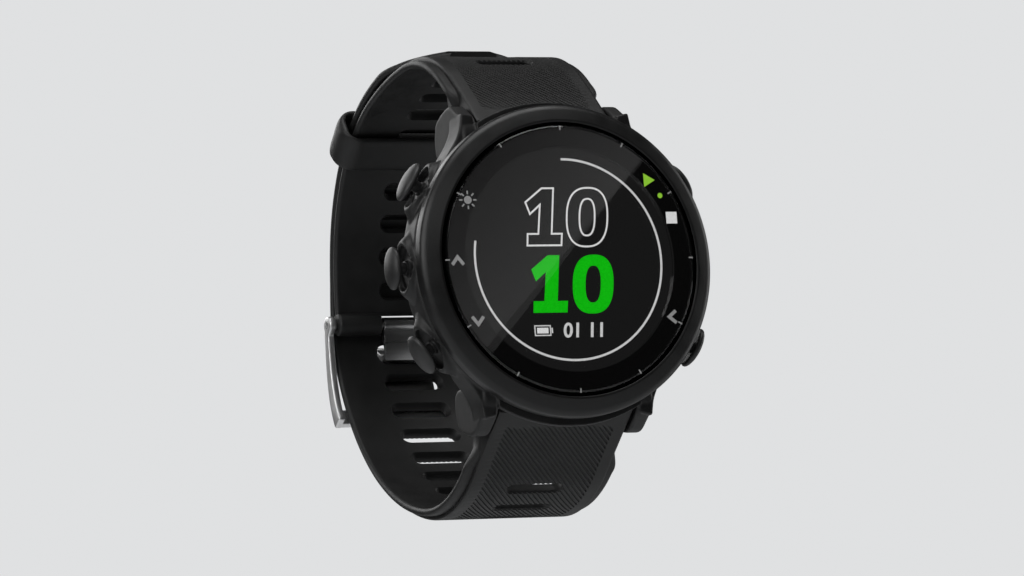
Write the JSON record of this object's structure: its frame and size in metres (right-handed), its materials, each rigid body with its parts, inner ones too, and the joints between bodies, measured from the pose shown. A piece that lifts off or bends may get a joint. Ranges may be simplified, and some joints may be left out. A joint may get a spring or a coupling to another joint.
{
  "type": "gps running watch",
  "caption": "Round sports watch with a flat display, side push buttons, screwed case back and a slotted silicone band closed by a steel pin buckle and a keeper.",
  "frame": {"origin": "centre of the rear face of the sensor window, where the watch rests on the wrist", "axes": "+Y points from the display towards the wrist, +Z to 12 o'clock, +X to 3 o'clock"},
  "size_m": [0.0458, 0.0611, 0.0654],
  "materials": {
    "bezel": "satin black fibre-reinforced polymer",
    "lens": "polished strengthened glass",
    "screen": "dark display stack",
    "frame": "moulded",
    "gasket": "matte",
    "case": "fine matte moulded polymer",
    "case_back": "fine matte moulded polymer",
    "window": "polished dark window",
    "screw": "stainless",
    "button": "satin dark grey",
    "steel": "fine brushed stainless",
    "switch": "moulded",
    "battery": "laminated foil pouch",
    "board": "solder mask",
    "motor": "plain can",
    "antenna": "copper on flexible film",
    "gold": "plated",
    "silicone": "satin silicone"
  },
  "bodies": {
    "watch": {"bezel": "bezel", "lens": "lens", "lens_gasket": "gasket", "mid_case": "case", "case_back": "case_back", "case_back_gasket": "gasket", "sensor_window": "window", "case_screw_1": "screw", "case_screw_2": "screw", "case_screw_3": "screw", "case_screw_4": "screw", "charge_contact_1": "gold", "charge_contact_2": "gold", "charge_contact_3": "gold", "charge_contact_4": "gold", "display_panel": "screen", "display_frame": "frame", "main_board": "board", "battery": "battery", "vibration_motor": "motor", "buzzer": "gold", "antenna": "antenna", "sensor_board": "board", "switch_light": "switch", "switch_up": "switch", "switch_down": "switch", "switch_start": "switch", "switch_back": "switch", "upper_strap": "silicone", "lower_strap": "silicone", "upper_spring_bar": "steel", "lower_spring_bar": "steel", "buckle_bar": "steel"},
    "button_light": {"button_light": "button", "button_seal_light": "gasket", "button_clip_light": "steel"},
    "button_up": {"button_up": "button", "button_seal_up": "gasket", "button_clip_up": "steel"},
    "button_down": {"button_down": "button", "button_seal_down": "gasket", "button_clip_down": "steel"},
    "button_start": {"button_start": "button", "button_seal_start": "gasket", "button_clip_start": "steel"},
    "button_back": {"button_back": "button", "button_seal_back": "gasket", "button_clip_back": "steel"},
    "buckle_frame": {"buckle_frame": "steel"},
    "buckle_tongue": {"buckle_tongue": "steel"},
    "keeper": {"keeper": "silicone"},
    "upper_release": {"upper_release_pin": "steel"},
    "lower_release": {"lower_release_pin": "steel"}
  },
  "joints": [
    {"name": "press_light", "type": "slide", "parent": "watch", "child": "button_light", "axis": [0.8616, 0, -0.5075], "range_m": [0, 0.0005], "stiffness_N_per_m": 4000, "springref_m": -0.0002},
    {"name": "press_up", "type": "slide", "parent": "watch", "child": "button_up", "axis": [1, 0, 0], "range_m": [0, 0.0005], "stiffness_N_per_m": 4000, "springref_m": -0.0002},
    {"name": "press_down", "type": "slide", "parent": "watch", "child": "button_down", "axis": [0.8616, 0, 0.5075], "range_m": [0, 0.0005], "stiffness_N_per_m": 4000, "springref_m": -0.0002},
    {"name": "press_start", "type": "slide", "parent": "watch", "child": "button_start", "axis": [-0.8704, 0, -0.4924], "range_m": [0, 0.0005], "stiffness_N_per_m": 4000, "springref_m": -0.0002},
    {"name": "press_back", "type": "slide", "parent": "watch", "child": "button_back", "axis": [-0.8704, 0, 0.4924], "range_m": [0, 0.0005], "stiffness_N_per_m": 4000, "springref_m": -0.0002},
    {"name": "buckle_frame_hinge", "type": "hinge", "parent": "watch", "child": "buckle_frame", "pos_m": [0, 0.04595, 0.0005], "axis": [1, 0, 0], "range_deg": [0, 8]},
    {"name": "buckle_tongue_hinge", "type": "hinge", "parent": "buckle_frame", "child": "buckle_tongue", "pos_m": [0, 0.04595, 0.0005], "axis": [1, 0, 0], "range_deg": [0, 5]},
    {"name": "keeper_slide_on_band", "type": "hinge", "parent": "watch", "child": "keeper", "pos_m": [0, 0.01995, 0.00509], "axis": [1, 0, 0], "range_deg": [-24, 14]},
    {"name": "upper_quick_release", "type": "slide", "parent": "watch", "child": "upper_release", "axis": [1, 0, 0], "range_m": [0, 0.0012], "stiffness_N_per_m": 800, "springref_m": -0.0005},
    {"name": "lower_quick_release", "type": "slide", "parent": "watch", "child": "lower_release", "axis": [1, 0, 0], "range_m": [0, 0.0012], "stiffness_N_per_m": 800, "springref_m": -0.0005}
  ]
}
